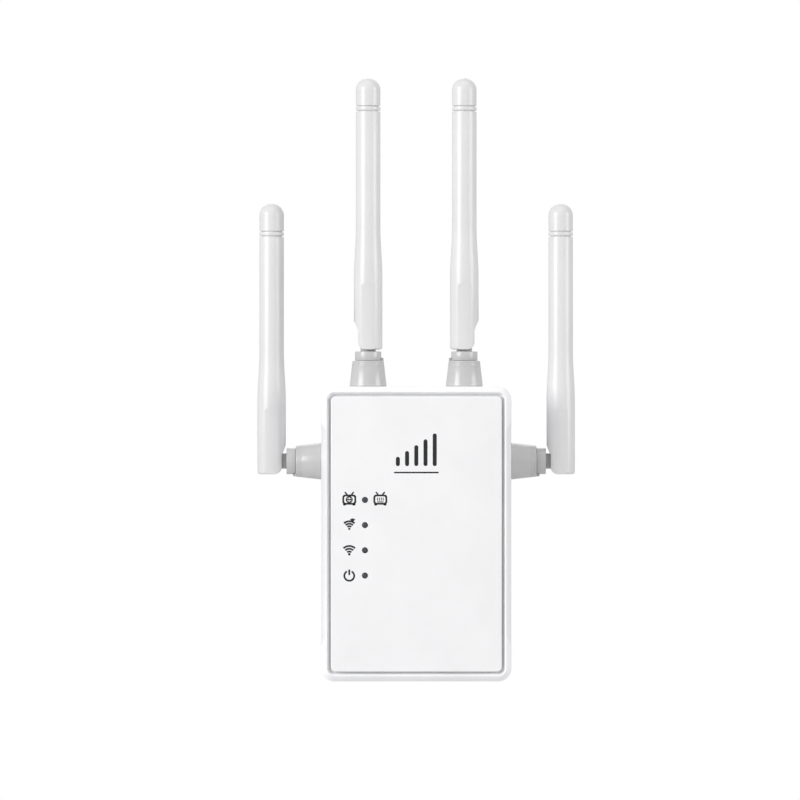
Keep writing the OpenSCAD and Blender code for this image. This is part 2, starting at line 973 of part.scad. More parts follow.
module antenna_whip() {
    shoulder = whip_top - cap_length;
    color("#f6f7f7")
        difference() {
            rotate_extrude()
                polygon([
                    [0, -heel], [whip_radius - heel_chamfer, -heel],
                    [whip_radius, heel_chamfer - heel], [whip_radius, taper_start],
                    [tip_radius, taper_end],
                    [tip_radius, shoulder - ring_spacing - ring_width],
                    [tip_radius - ring_depth, shoulder - ring_spacing - ring_width],
                    [tip_radius - ring_depth, shoulder - ring_spacing],
                    [tip_radius, shoulder - ring_spacing],
                    [tip_radius, shoulder - ring_width],
                    [tip_radius - ring_depth, shoulder - ring_width],
                    [tip_radius - ring_depth, shoulder], [0, shoulder]
                ]);
            translate([0, 0, core_bottom])
                cylinder(r = core_bore, h = whip_top);
            cylinder(r = feed_bore, h = core_bottom + 1);
            // flat cheeks at the front and back
            for (sy = [-1, 1])
                translate([-whip_diameter, sy > 0 ? flat_distance : -flat_distance - 2, -heel - 1])
                    cube([2 * whip_diameter, 2, flat_length + heel + 1]);
            // slot for the tongue, open below and on the fold side
            translate([-whip_diameter, -slot_half, -heel - 1])
                cube([whip_diameter + slot_reach, 2 * slot_half, heel + 1 + slot_reach]);
            notch_cut();
            translate([0, flat_distance + 1, 0])
                rotate([90, 0, 0])
                    cylinder(r = pin_radius, h = 2 * flat_distance);
        }
}

module antenna_tip() {
    color("#f6f7f7") {
        translate([0, 0, whip_top - cap_length])
            cylinder(r = tip_radius, h = cap_length - tip_radius);
        translate([0, 0, whip_top - tip_radius])
            intersection() {
                sphere(r = tip_radius);
                cylinder(r = tip_radius, h = tip_radius);
            }
        translate([0, 0, whip_top - cap_length - cap_plug_length])
            cylinder(r = core_bore - seat_gap, h = cap_plug_length + 0.1);
    }
}

module hinge_pin() {
    color("#b9bcc0")
        translate([0, flat_distance - 0.1, 0])
            rotate([90, 0, 0])
                cylinder(r = pin_radius, h = 2 * flat_distance - 1.1);
}

module aerial() {
    color("#b8863b") {
        translate([0, 0, core_bottom - 1.5])
            cylinder(r = cable_radius, h = dipole_bottom - core_bottom + 1.6);
        translate([0, 0, dipole_bottom])
            cylinder(r = dipole_radius, h = dipole_top - dipole_bottom);
        translate([0, 0, dipole_top - 0.1])
            cylinder(r = cable_radius, h = wire_top - dipole_top + 0.1);
    }
}

// one lead: out of its socket, across to the antenna's axis and up through the hollow shaft
module lead_run(points) {
    for (i = [0 : len(points) - 2])
        let (a = points[i], b = points[i + 1], d = b - a)
            translate(a)
                rotate([0, acos(d[2] / norm(d)), atan2(d[1], d[0])])
                    cylinder(r = cable_radius, h = norm(d));
    for (i = [1 : len(points) - 2])
        translate(points[i])
            sphere(r = cable_radius * 1.05);
}

module antenna_leads() {
    shaft_end = spigot_length + moving_gap + snap_height;
    end_z = collar_top - 1.2;
    color("#4a4c50")
        for (side = [-1, 1]) {
            top = lead_start(side, false);
            low = lead_start(side, true);
            lead_run([
                top, [top[0], top[1] + 1.4, top[2]],
                [side * top_antenna_offset, top_antenna_y, casing_top - shaft_end - 2.5],
                [side * top_antenna_offset, top_antenna_y, casing_top + end_z]
            ]);
            lead_run([
                low, [low[0], low[1] + 1.4, low[2]],
                [side * (casing_side - shaft_end - 2), side_antenna_y, side_antenna_z],
                [side * (casing_side + end_z), side_antenna_y, side_antenna_z]
            ]);
        }
}

module base_left_inner() on_top_left() antenna_base();
module base_right_inner() on_top_right() antenna_base();
module base_left_outer() on_side_left() antenna_base();
module base_right_outer() on_side_right() antenna_base();

module swivel_left_inner() on_top_left() antenna_swivel();
module swivel_right_inner() on_top_right() antenna_swivel();
module swivel_left_outer() on_side_left() antenna_swivel();
module swivel_right_outer() on_side_right() antenna_swivel();

module whip_left_inner() on_top_left() folded(0) antenna_whip();
module whip_right_inner() on_top_right() folded(0) antenna_whip();
module whip_left_outer() on_side_left() folded(90) antenna_whip();
module whip_right_outer() on_side_right() folded(90) antenna_whip();

module tip_left_inner() on_top_left() folded(0) antenna_tip();
module tip_right_inner() on_top_right() folded(0) antenna_tip();
module tip_left_outer() on_side_left() folded(90) antenna_tip();
module tip_right_outer() on_side_right() folded(90) antenna_tip();

module hinge_pin_left_inner() on_top_left() folded(0) hinge_pin();
module hinge_pin_right_inner() on_top_right() folded(0) hinge_pin();
module hinge_pin_left_outer() on_side_left() folded(90) hinge_pin();
module hinge_pin_right_outer() on_side_right() folded(90) hinge_pin();

module aerial_left_inner() on_top_left() folded(0) aerial();
module aerial_right_inner() on_top_right() folded(0) aerial();
module aerial_left_outer() on_side_left() folded(90) aerial();
module aerial_right_outer() on_side_right() folded(90) aerial();

front_cover();
front_panel();
rear_cover();
plug_boss();
plug_pin_left();
plug_pin_right();
pin_sleeves();
case_screws();
rear_label();
light_guide();
status_leds();
main_board();
rf_shield();
processor_chip();
memory_chip();
network_transformer();
aerial_sockets();
lan_socket();
wan_socket();
socket_contacts();
power_board();
power_transformer();
input_capacitor();
output_capacitor();
mains_fuse();
bridge_rectifier();
noise_choke();
board_header();
pair_button();
pair_switch();
reset_button();
reset_switch();
antenna_nuts();
antenna_leads();
base_left_inner();
base_right_inner();
base_left_outer();
base_right_outer();
swivel_left_inner();
swivel_right_inner();
swivel_left_outer();
swivel_right_outer();
whip_left_inner();
whip_right_inner();
whip_left_outer();
whip_right_outer();
tip_left_inner();
tip_right_inner();
tip_left_outer();
tip_right_outer();
hinge_pin_left_inner();
hinge_pin_right_inner();
hinge_pin_left_outer();
hinge_pin_right_outer();
aerial_left_inner();
aerial_right_inner();
aerial_left_outer();
aerial_right_outer();
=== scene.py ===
"""The looks of a plug-in range extender with four folding antennas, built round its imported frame."""

import json
import math

import bpy
from mathutils import Matrix, Vector


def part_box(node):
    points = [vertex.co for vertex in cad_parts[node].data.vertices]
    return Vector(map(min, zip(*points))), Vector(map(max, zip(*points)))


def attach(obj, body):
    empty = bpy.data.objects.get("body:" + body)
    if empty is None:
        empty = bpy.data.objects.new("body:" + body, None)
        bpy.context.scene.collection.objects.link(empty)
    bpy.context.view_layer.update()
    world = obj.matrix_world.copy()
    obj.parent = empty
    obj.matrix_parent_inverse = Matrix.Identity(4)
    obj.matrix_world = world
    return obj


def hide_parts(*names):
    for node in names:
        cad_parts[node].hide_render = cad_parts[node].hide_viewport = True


bl_info = {
    "name": "Range Extender Looks",
    "version": (1, 0, 0),
    "blender": (4, 5, 0),
    "location": "3D View > Sidebar > Extender",
    "description": "Builds the visible pieces of a plug-in range extender on its CAD frame",
    "category": "Add Mesh",
}

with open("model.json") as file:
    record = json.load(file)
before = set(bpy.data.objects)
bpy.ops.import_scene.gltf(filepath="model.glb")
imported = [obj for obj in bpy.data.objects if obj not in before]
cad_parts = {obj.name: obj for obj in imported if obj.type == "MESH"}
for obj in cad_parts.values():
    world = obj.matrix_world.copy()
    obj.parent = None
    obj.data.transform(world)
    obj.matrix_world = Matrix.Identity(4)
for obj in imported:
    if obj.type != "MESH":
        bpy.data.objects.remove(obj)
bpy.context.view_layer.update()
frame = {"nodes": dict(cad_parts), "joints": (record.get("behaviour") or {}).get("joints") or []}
MM = 0.001
CASING = "casing"
PANEL_LOW, PANEL_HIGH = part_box("front_panel")
PANEL_FACE = PANEL_LOW.y
GUIDE_LOW, GUIDE_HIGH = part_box("light_guide")
JOINTS = {joint["name"]: joint for joint in frame["joints"]}
QUARTERS = ("left_inner", "right_inner", "left_outer", "right_outer")
LIGHT_PITCH = 8.2 * MM
LIGHT_COUNT = 4


# ---- sizes and colours ----


def linear(code):
    """An sRGB hex colour as the linear RGBA that Blender works in."""
    steps = [int(code[i : i + 2], 16) / 255 for i in (1, 3, 5)]
    return [s / 12.92 if s <= 0.04045 else ((s + 0.055) / 1.055) ** 2.4 for s in steps] + [1.0]


def length(name, description, millimetres):
    """A size that shows in Blender's length units."""
    return bpy.props.FloatProperty(
        name=name,
        description=description,
        default=millimetres * MM,
        min=0,
        precision=5,
        subtype="DISTANCE",
        unit="LENGTH",
    )


def colour(name, description, code):
    """A colour that is picked in the panel."""
    return bpy.props.FloatVectorProperty(
        name=name, description=description, default=linear(code)[:3], min=0, max=1, subtype="COLOR"
    )


class ExtenderSizes(bpy.types.PropertyGroup):
    shell_edge: length("Shell edges", "Rounding of the covers' moulded edges", 0.22)
    panel_edge: length("Panel edge", "Rounding of the front panel's rim", 0.35)
    panel_corner: length("Panel corner", "Corner radius of the front panel", 1.6)
    print_relief: length("Ink relief", "How far the printed symbols stand out", 0.015)
    stroke: length("Ink stroke", "Width of the printed lines", 0.6)
    whip_radius: length("Whip radius", "Radius of an antenna at its hinge", 4.65)
    tip_radius: length("Tip radius", "Radius of an antenna at its tip", 4.0)
    heel: length("Whip heel", "How far a whip reaches below its hinge pin", 4.3)
    whip_top: length("Whip top", "Height of a whip's tip above its hinge pin", 84.4)
    cap_length: length("Cap length", "Length of the cap on a whip's end", 9.1)
    ring_depth: length("Ring depth", "Depth of the rings round a whip's end", 0.6)
    cone_rings: length("Cone rings", "Depth of the fine rings round a cone", 0.06)


class ExtenderColours(bpy.types.PropertyGroup):
    shell: colour("Shell", "Covers and plug body", "#FAFAFB")
    panel: colour("Panel", "Front panel", "#F5F5F6")
    antenna: colour("Antenna", "Whips and their caps", "#E4E4E5")
    hinge: colour("Hinge", "Cones and turning collars", "#C6C6C6")
    ink: colour("Ink", "Printed symbols", "#1B1C1D")
    lens: colour("Lens", "Status lights", "#0F1011")


# ---- materials ----


def add_node(tree, kind, values=None, links=None, **settings):
    """Adds a node, sets its settings and socket values, and joins the sockets that feed it."""
    node = tree.nodes.new("ShaderNode" + kind)
    for key, value in settings.items():
        setattr(node, key, value)
    for key, value in (values or {}).items():
        node.inputs[key].default_value = value
    for key, source in (links or {}).items():
        tree.links.new(source, node.inputs[key])
    return node


def start_finish(name, **sockets):
    """A new material: its node tree, its shader with constant sockets set, and Object coordinates."""
    made = bpy.data.materials.new(name)
    made.use_nodes = True
    tree = made.node_tree
    shader = tree.nodes["Principled BSDF"]
    for key, value in sockets.items():
        shader.inputs[key.replace("_", " ")].default_value = value
    place = add_node(tree, "TexCoord").outputs["Object"]
    return made, tree, shader, place


def per(millimetres):
    """The scale that makes a noise pattern's features that many millimetres across."""
    return 1 / (millimetres * MM)


def drift(tree, place, shader, code, other, size):
    """Lets a colour wander between two near shades over patches of one size."""
    cloud = add_node(tree, "TexNoise", {"Scale": per(size), "Detail": 3.0}, {"Vector": place})
    shades = add_node(tree, "ValToRGB", links={"Fac": cloud.outputs["Fac"]})
    shades.color_ramp.elements[0].position = 0.3
    shades.color_ramp.elements[1].position = 0.7
    shades.color_ramp.elements[0].color = code
    shades.color_ramp.elements[1].color = other
    tree.links.new(shades.outputs["Color"], shader.inputs["Base Color"])
    return cloud, shades


def relief(tree, shader, height, depth):
    """Feeds a height pattern to the shader as fine relief, so many millimetres deep."""
    bump = add_node(tree, "Bump", {"Strength": 1.0, "Distance": depth * MM}, {"Height": height})
    tree.links.new(bump.outputs["Normal"], shader.inputs["Normal"])
    return bump


def gloss(tree, shader, pattern, low, high):
    """Lets the roughness follow a pattern between two values."""
    spread = add_node(tree, "MapRange", {"To Min": low, "To Max": high}, {"Value": pattern})
    tree.links.new(spread.outputs["Result"], shader.inputs["Roughness"])


def shade(rgb, factor):
    """A colour made a little lighter or darker."""
    return [min(1.0, c * factor) for c in rgb[:3]] + [1.0]


def moulded(name, rgb, low, high, grain, depth, **sockets):
    """A moulded plastic: nearly one colour, with the fine grain that its mould was given."""
    made, tree, shader, place = start_finish(name, IOR=1.53, **sockets)
    cloud, _ = drift(tree, place, shader, shade(rgb, 0.975), shade(rgb, 1.01), 14)
    texture = add_node(
        tree, "TexNoise", {"Scale": per(grain), "Detail": 4.0, "Roughness": 0.6}, {"Vector": place}
    )
    gloss(tree, shader, texture.outputs["Fac"], low, high)
    relief(tree, shader, texture.outputs["Fac"], depth)
    return made


def colours():
    return bpy.context.scene.extender_colours


def moulded_abs_shell():
    # spark-eroded mould: a fine even grain that breaks up reflections; 0.1 mm grains drawn at 0.3 mm
    return moulded("moulded_abs_shell", colours().shell, 0.36, 0.48, 0.3, 0.006)


def polished_abs_panel():
    # polished mould: clearer reflections than the shell and a faint long wave, as on a glossy lid
    return moulded(
        "polished_abs_panel", colours().panel, 0.2, 0.26, 3.0, 0.004, Coat_Weight=0.25, Coat_Roughness=0.08
    )


def satin_antenna_sleeve():
    # soft-touch sleeve: a broad bright streak down each whip and no clear reflection
    return moulded(
        "satin_antenna_sleeve", colours().antenna, 0.28, 0.36, 0.25, 0.002,
        Coat_Weight=0.2, Coat_Roughness=0.25,
    )


def moulded_nylon_hinge():
    # glass-filled nylon: greyer than the shell, slightly cloudy, with drag marks at the part of 0.4 mm
    return moulded(
        "moulded_nylon_hinge", colours().hinge, 0.24, 0.34, 0.4, 0.003, Coat_Weight=0.3, Coat_Roughness=0.2
    )


def moulded_abs_button():
    # the same plastic as the shell, polished by fingers
    return moulded("moulded_abs_button", colours().shell, 0.24, 0.34, 0.5, 0.003)


def black_pvc_sleeve():
    # insulating sleeve on a pin: dull black with a fine leathery skin
    return moulded("black_pvc_sleeve", linear("#1F2022"), 0.42, 0.56, 0.2, 0.006)


def glass_filled_socket():
    # glass fibre at the surface gives the dark socket a dry, speckled look
    return moulded("glass_filled_socket", linear("#2B2D30"), 0.4, 0.6, 0.15, 0.006)


def epoxy_package():
    # transfer-moulded chip: nearly black and matt, with sanded grain
    return moulded("epoxy_package", linear("#1C1D1F"), 0.55, 0.7, 0.12, 0.005)


def natural_nylon():
    # undyed nylon of a pin header: creamy and waxy
    return moulded("natural_nylon", linear("#E8E4D6"), 0.36, 0.46, 0.4, 0.003, Subsurface_Weight=0.1)


def phenolic_fuse_body():
    # dipped phenolic: brown, glossy, with a lightly pitted skin
    return moulded("phenolic_fuse_body", linear("#5A4632"), 0.22, 0.34, 0.5, 0.01)


def fluoropolymer_jacket():
    # the smooth grey skin of thin coaxial lead
    return moulded("fluoropolymer_jacket", linear("#55585C"), 0.24, 0.32, 0.3, 0.002)


def polyester_tape():
    # yellow tape wound round a transformer: glossy, with the edge of each 3 mm turn showing
    made, tree, shader, place = start_finish("polyester_tape", IOR=1.6, Coat_Weight=0.4)
    _, shades = drift(tree, place, shader, linear("#C79A2C"), linear("#DDB13C"), 5)
    turns = add_node(
        tree, "TexWave", {"Scale": 0.314 * per(3), "Distortion": 0.4}, {"Vector": place},
        wave_type="BANDS", bands_direction="Y", wave_profile="SAW",
    )
    gloss(tree, shader, turns.outputs["Fac"], 0.18, 0.34)
    relief(tree, shader, turns.outputs["Fac"], 0.03)
    return made


def pvc_shrink_sleeve():
    # printed sleeve shrunk on an aluminium can: dark blue, glossy, slightly rippled lengthwise
    made, tree, shader, place = start_finish("pvc_shrink_sleeve", IOR=1.54, Coat_Weight=0.3)
    drift(tree, place, shader, linear("#232B49"), linear("#2E3A5E"), 6)
    ripple = add_node(
        tree, "TexWave", {"Scale": 0.314 * per(1.2), "Distortion": 2.0, "Detail": 2.0},
        {"Vector": place}, wave_type="BANDS", bands_direction="DIAGONAL",
    )
    gloss(tree, shader, ripple.outputs["Fac"], 0.2, 0.32)
    relief(tree, shader, ripple.outputs["Fac"], 0.008)
    return made


def screen_ink():
    # screen-printed ink: dark, semi-matt, a little thin where the mesh of the screen was
    made, tree, shader, place = start_finish("screen_ink", IOR=1.5)
    rgb = colours().ink
    drift(tree, place, shader, shade(rgb, 0.85), shade(rgb, 1.2), 1.2)
    weave = add_node(tree, "TexVoronoi", {"Scale": per(0.2)}, {"Vector": place})
    gloss(tree, shader, weave.outputs["Distance"], 0.42, 0.6)
    relief(tree, shader, weave.outputs["Distance"], 0.003)
    return made


def smoked_acrylic():
    # dark clear plastic of the light guide: glossy, black with nothing lit behind it
    made, tree, shader, place = start_finish(
        "smoked_acrylic", IOR=1.49, Specular_IOR_Level=0.3, Coat_Weight=0.15, Coat_Roughness=0.03
    )
    rgb = colours().lens
    drift(tree, place, shader, shade(rgb, 0.9), shade(rgb, 1.5), 0.8)
    haze = add_node(tree, "TexNoise", {"Scale": per(0.5), "Detail": 2.0}, {"Vector": place})
    gloss(tree, shader, haze.outputs["Fac"], 0.08, 0.16)
    return made


def polyester_label():
    # blank printed film: satin, cool grey, with the faint orange peel of its glue
    return moulded("polyester_label", linear("#D8DADC"), 0.34, 0.42, 1.2, 0.006)


def led_epoxy():
    # chip light: pale yellow phosphor under clear resin
    made, tree, shader, place = start_finish("led_epoxy", IOR=1.54, Coat_Weight=0.6)
    drift(tree, place, shader, linear("#E6DC9C"), linear("#F4EFC8"), 0.5)
    grit = add_node(tree, "TexNoise", {"Scale": per(0.15), "Detail": 3.0}, {"Vector": place})
    gloss(tree, shader, grit.outputs["Fac"], 0.14, 0.3)
    return made


def worked_metal(name, code, other, low, high, pitch, depth, direction="Y"):
    """A metal with the lines that its tool or its rolling left, one pitch apart."""
    made, tree, shader, place = start_finish(name, Metallic=1.0)
    drift(tree, place, shader, linear(code), linear(other), 2.5)
    lines = add_node(
        tree, "TexWave", {"Scale": 0.314 * per(pitch), "Distortion": 0.6, "Detail": 3.0},
        {"Vector": place}, wave_type="BANDS", bands_direction=direction,
    )
    wear = add_node(tree, "TexNoise", {"Scale": per(1.5), "Detail": 5.0}, {"Vector": place})
    both = add_node(
        tree, "Math", links={0: lines.outputs["Fac"], 1: wear.outputs["Fac"]}, operation="MULTIPLY"
    )
    gloss(tree, shader, both.outputs["Value"], low, high)
    relief(tree, shader, lines.outputs["Fac"], depth)
    return made


def nickel_plated_brass():
    # turned pin under bright nickel: a clear reflection broken by 0.25 mm turning lines
    return worked_metal("nickel_plated_brass", "#BDBBB6", "#CFCDC8", 0.14, 0.3, 0.25, 0.0015)


def zinc_plated_steel():
    # screws, nuts and hinge pins: bluish grey, softly cloudy
    return worked_metal("zinc_plated_steel", "#9A9EA3", "#B4B8BC", 0.26, 0.42, 0.3, 0.002)


def tinned_steel():
    # pressed cans and switch covers: dull silver with rolling lines
    return worked_metal("tinned_steel", "#A9ACAF", "#BFC1C3", 0.28, 0.4, 0.35, 0.0015, "Z")


def gold_plate():
    # flash gold on spring contacts: warm and bright
    return worked_metal("gold_plate", "#CBA24A", "#DDB863", 0.16, 0.28, 0.2, 0.001, "Z")


def drawn_brass():
    # dipole tube: yellow metal with lines along the way it was drawn
    return worked_metal("drawn_brass", "#A98548", "#BE9A58", 0.2, 0.36, 0.3, 0.002, "X")


def enamelled_copper():
    # close winding of 0.4 mm enamelled wire: reddish, each turn a round ridge
    return worked_metal("enamelled_copper", "#94512D", "#B0663A", 0.2, 0.34, 0.4, 0.09)


def solder_masked_board():
    # green lacquer over copper: tracks show lighter under it, and plated pads shine through
    made, tree, shader, place = start_finish("solder_masked_board", IOR=1.55, Coat_Weight=0.35)
    _, shades = drift(tree, place, shader, linear("#12422A"), linear("#185236"), 9)
    tracks = add_node(
        tree, "TexVoronoi", {"Scale": per(3.2)}, {"Vector": place},
        feature="DISTANCE_TO_EDGE",
    )
    line = add_node(
        tree, "MapRange", {"From Min": 0.05, "From Max": 0.09, "To Min": 1.0, "To Max": 0.0},
        {"Value": tracks.outputs["Distance"]},
    )
    copper = add_node(
        tree, "Mix", {7: linear("#2C7A50")}, {0: line.outputs["Result"], 6: shades.outputs["Color"]},
        data_type="RGBA",
    )
    pads = add_node(tree, "TexVoronoi", {"Scale": per(2.1)}, {"Vector": place}, distance="CHEBYCHEV")
    pad = add_node(
        tree, "MapRange", {"From Min": 0.14, "From Max": 0.17, "To Min": 1.0, "To Max": 0.0},
        {"Value": pads.outputs["Distance"]},
    )
    metal = add_node(
        tree, "Mix", {7: linear("#C9C6B8")}, {0: pad.outputs["Result"], 6: copper.outputs[2]},
        data_type="RGBA",
    )
    tree.links.new(metal.outputs[2], shader.inputs["Base Color"])
    tree.links.new(pad.outputs["Result"], shader.inputs["Metallic"])
    gloss(tree, shader, line.outputs["Result"], 0.32, 0.2)
    relief(tree, shader, line.outputs["Result"], 0.02)
    return made


FINISHES = {
    made.__name__: made
    for made in (
        moulded_abs_shell, polished_abs_panel, satin_antenna_sleeve, moulded_nylon_hinge,
        moulded_abs_button, black_pvc_sleeve, glass_filled_socket, epoxy_package, natural_nylon,
        phenolic_fuse_body, fluoropolymer_jacket, polyester_tape, pvc_shrink_sleeve, screen_ink,
        smoked_acrylic, polyester_label, led_epoxy, nickel_plated_brass, zinc_plated_steel,
        tinned_steel, gold_plate, drawn_brass, enamelled_copper, solder_masked_board,
    )
}


def finish(name):
    """The material of that name, made the first time it is asked for."""
    return bpy.data.materials.get(name) or FINISHES[name]()


# ---- modelling ----


def only(piece):
    """Leaves edit mode and selects one piece alone."""
    if bpy.context.object and bpy.context.object.mode != "OBJECT":
        bpy.ops.object.mode_set(mode="OBJECT")
    bpy.ops.object.select_all(action="DESELECT")
    piece.select_set(True)
    bpy.context.view_layer.objects.active = piece


def begin(name, primitive, **settings):
    """Adds a primitive with nothing else selected, and puts its place in its mesh."""
    bpy.ops.object.select_all(action="DESELECT")
    getattr(bpy.ops.mesh, f"primitive_{primitive}_add")(**settings)
    piece = bpy.context.object
    piece.name = piece.data.name = name
    bpy.ops.object.transform_apply(location=True, rotation=True, scale=True)
    return piece


def edit(piece, kind, test):
    """Opens a piece in edit mode with the parts that pass a test selected."""
    only(piece)
    mesh = piece.data
    bpy.context.tool_settings.mesh_select_mode = (kind == "VERT", kind == "EDGE", kind == "FACE")
    for parts in (mesh.vertices, mesh.edges, mesh.polygons):
        parts.foreach_set("select", [False] * len(parts))
    if kind == "FACE":
        for face in mesh.polygons:
            face.select = test(face.center, face.normal)
    elif kind == "EDGE":
        for edge in mesh.edges:
            edge.select = test(*(mesh.vertices[i].co for i in edge.vertices))
    else:
        for vertex in mesh.vertices:
            vertex.select = test(vertex.co)
    bpy.ops.object.mode_set(mode="EDIT")


def tidy(piece, gap=1e-6):
    """Merges points that coincide and turns all faces outwards."""
    edit(piece, "VERT", lambda point: True)
    bpy.ops.mesh.remove_doubles(threshold=gap)
    bpy.ops.mesh.normals_make_consistent(inside=False)
    bpy.ops.object.mode_set(mode="OBJECT")
    return piece


def block(name, low, high, corner, steps=8):
    """A slab between two corners whose four edges along Y are rounded."""
    low, high = Vector(low), Vector(high)
    piece = begin(name, "cube", size=1, location=(low + high) / 2, scale=high - low)
    edit(piece, "EDGE", lambda a, b: abs(a.y - b.y) > 1e-6)
    bpy.ops.mesh.bevel(offset=corner, segments=steps, affect="EDGES")
    bpy.ops.object.mode_set(mode="OBJECT")
    return piece


def drawn(name, outline, y=0):
    """Draws an outline in X and Z point by point, and leaves it selected in edit mode."""
    piece = begin(name, "plane", size=MM)
    edit(piece, "VERT", lambda point: True)
    bpy.ops.mesh.merge(type="CENTER")
    bpy.ops.transform.translate(value=(outline[0][0], y, outline[0][1]))
    for (x0, z0), (x1, z1) in zip(outline, outline[1:]):
        bpy.ops.mesh.extrude_region_move(TRANSFORM_OT_translate={"value": (x1 - x0, 0, z1 - z0)})
    bpy.ops.mesh.select_all(action="SELECT")
    return piece


def turned(name, outline, steps=64, arc=math.tau):
    """A piece turned about Z from its outline."""
    piece = drawn(name, outline)
    bpy.ops.mesh.spin(steps=steps, angle=arc, center=(0, 0, 0), axis=(0, 0, 1))
    bpy.ops.object.mode_set(mode="OBJECT")
    return tidy(piece)


def close_ends(piece):
    """Fills the open ends that a part turn leaves."""
    edit(piece, "EDGE", lambda a, b: False)
    bpy.ops.mesh.select_non_manifold()
    bpy.ops.mesh.edge_face_add()
    bpy.ops.object.mode_set(mode="OBJECT")


def rounded(centre, radius, start, end, steps=6):
    """Points of an arc in an outline, from one angle to another in degrees."""
    turns = [math.radians(start + (end - start) * i / steps) for i in range(steps + 1)]
    return [(centre[0] + radius * math.cos(t), centre[1] + radius * math.sin(t)) for t in turns]


def combine(piece, operation, *tools):
    """Cuts other pieces out of a piece or melts them into it, and uses them up."""
    for tool in tools:
        only(piece)
        bpy.ops.object.modifier_add(type="BOOLEAN")
        boolean = piece.modifiers[-1]
        boolean.operation, boolean.solver, boolean.object = operation, "EXACT", tool
        bpy.ops.object.modifier_apply(modifier=boolean.name)
        bpy.data.objects.remove(tool)
    return piece


def smooth(piece, angle):
    """Shades a piece smooth, except across edges that are sharper than an angle in degrees."""
    only(piece)
    bpy.ops.object.shade_smooth_by_angle(angle=math.radians(angle))
    return piece


def soften(piece, width, steps=2, angle=38):
    """Rounds the edges that are sharper than an angle and smooths the rest."""
    only(piece)
    bpy.ops.object.modifier_add(type="BEVEL")
    bevel = piece.modifiers[-1]
    bevel.width, bevel.segments = width, steps
    bevel.limit_method, bevel.angle_limit = "ANGLE", math.radians(angle)
    bpy.ops.object.modifier_apply(modifier=bevel.name)
    return smooth(piece, angle)


def from_cad(node, width):
    """A merged copy of a CAD node with its edges rounded."""
    mesh = frame["nodes"][node].data.copy()
    mesh.materials.clear()
    piece = bpy.data.objects.new(node + "_piece", mesh)
    bpy.context.scene.collection.objects.link(piece)
    tidy(piece)
    edit(piece, "FACE", lambda centre, normal: True)
    bpy.ops.mesh.customdata_custom_splitnormals_clear()
    bpy.ops.mesh.dissolve_limited(angle_limit=math.radians(0.6))
    bpy.ops.object.mode_set(mode="OBJECT")
    return soften(piece, width)


def copied(piece, name, place):
    """A copy with its own mesh, placed by a matrix and turned the right way out if mirrored."""
    only(piece)
    bpy.ops.object.duplicate()
    other = bpy.context.object
    other.name = other.data.name = name
    other.data.transform(place)
    return tidy(other) if place.determinant() < 0 else other


def joined(name, pieces):
    """Several meshes as one piece."""
    only(pieces[0])
    for piece in pieces:
        piece.select_set(True)
    bpy.ops.object.join()
    pieces[0].name = pieces[0].data.name = name
    return pieces[0]


def hand_over(piece, body, material, slot, *nodes):
    """Gives a piece its material and the body it moves with, and hides the CAD nodes it stands for."""
    piece.data.materials.clear()
    piece.data.materials.append(finish(material))
    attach(piece, body)
    if nodes:
        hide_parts(*nodes)
    return piece


def antenna_matrix(quarter, on_pin):
    """From an antenna's own frame, +Z out of the casing and folding towards -X, to the object's.
    With on_pin the frame is the whip's, whose origin is on the hinge pin."""
    turn = JOINTS[f"swivel_turn_{quarter}"]
    outward = Vector(turn["axis"])
    side = 1 if turn["pos_m"][0] > 0 else -1
    along = Vector((0, 0, -1)) if quarter.endswith("outer") else Vector((-side, 0, 0))
    origin = Vector(turn["pos_m"])
    depth = Vector((0, 1, 0))
    if on_pin:
        origin = Vector(JOINTS[f"antenna_fold_{quarter}"]["pos_m"])
        if quarter.endswith("outer"):
            along, outward = outward, -along
    matrix = Matrix((along, depth, outward)).transposed().to_4x4()
    matrix.translation = origin
    return matrix


# ---- pieces ----


class EXTENDER_OT_covers(bpy.types.Operator):
    """The front and rear covers, with softened moulded edges"""

    bl_idname = "extender.covers"
    bl_label = "Covers"

    def execute(self, context):
        edge = context.scene.extender_sizes.shell_edge
        for node in ("front_cover", "rear_cover"):
            hand_over(from_cad(node, edge), CASING, "moulded_abs_shell", "shell_white", node)
        return {"FINISHED"}


class EXTENDER_OT_panel(bpy.types.Operator):
    """The raised front panel, with a rounded rim and the holes of its lights"""

    bl_idname = "extender.panel"
    bl_label = "Front panel"

    def execute(self, context):
        sizes = context.scene.extender_sizes
        piece = block("panel_plate", PANEL_LOW, PANEL_HIGH, sizes.panel_corner, 10)
        edit(piece, "FACE", lambda centre, normal: normal.y < -0.9)
        bpy.ops.mesh.region_to_loop()
        bpy.ops.mesh.bevel(offset=sizes.panel_edge, segments=4, affect="EDGES")
        bpy.ops.object.mode_set(mode="OBJECT")
        hole = light_radius() + 0.05 * MM
        for x, z in light_places():
            drill = begin(
                "drill", "cylinder", vertices=48, radius=hole, depth=8 * MM,
                location=(x, PANEL_FACE, z), rotation=(math.pi / 2, 0, 0),
            )
            combine(piece, "DIFFERENCE", drill)
        smooth(piece, 35)
        hand_over(piece, CASING, "polished_abs_panel", "panel_gloss", "front_panel")
        return {"FINISHED"}


def light_radius():
    return (GUIDE_HIGH.z - GUIDE_LOW.z - (LIGHT_COUNT - 1) * LIGHT_PITCH - 1.1 * MM) / 2


def light_places():
    """Where the four status lights are, from the top one down."""
    x = (GUIDE_LOW.x + GUIDE_HIGH.x) / 2
    middle = (GUIDE_LOW.z + GUIDE_HIGH.z) / 2
    top = middle + LIGHT_PITCH * (LIGHT_COUNT - 1) / 2
    return [(x, top - i * LIGHT_PITCH) for i in range(LIGHT_COUNT)]


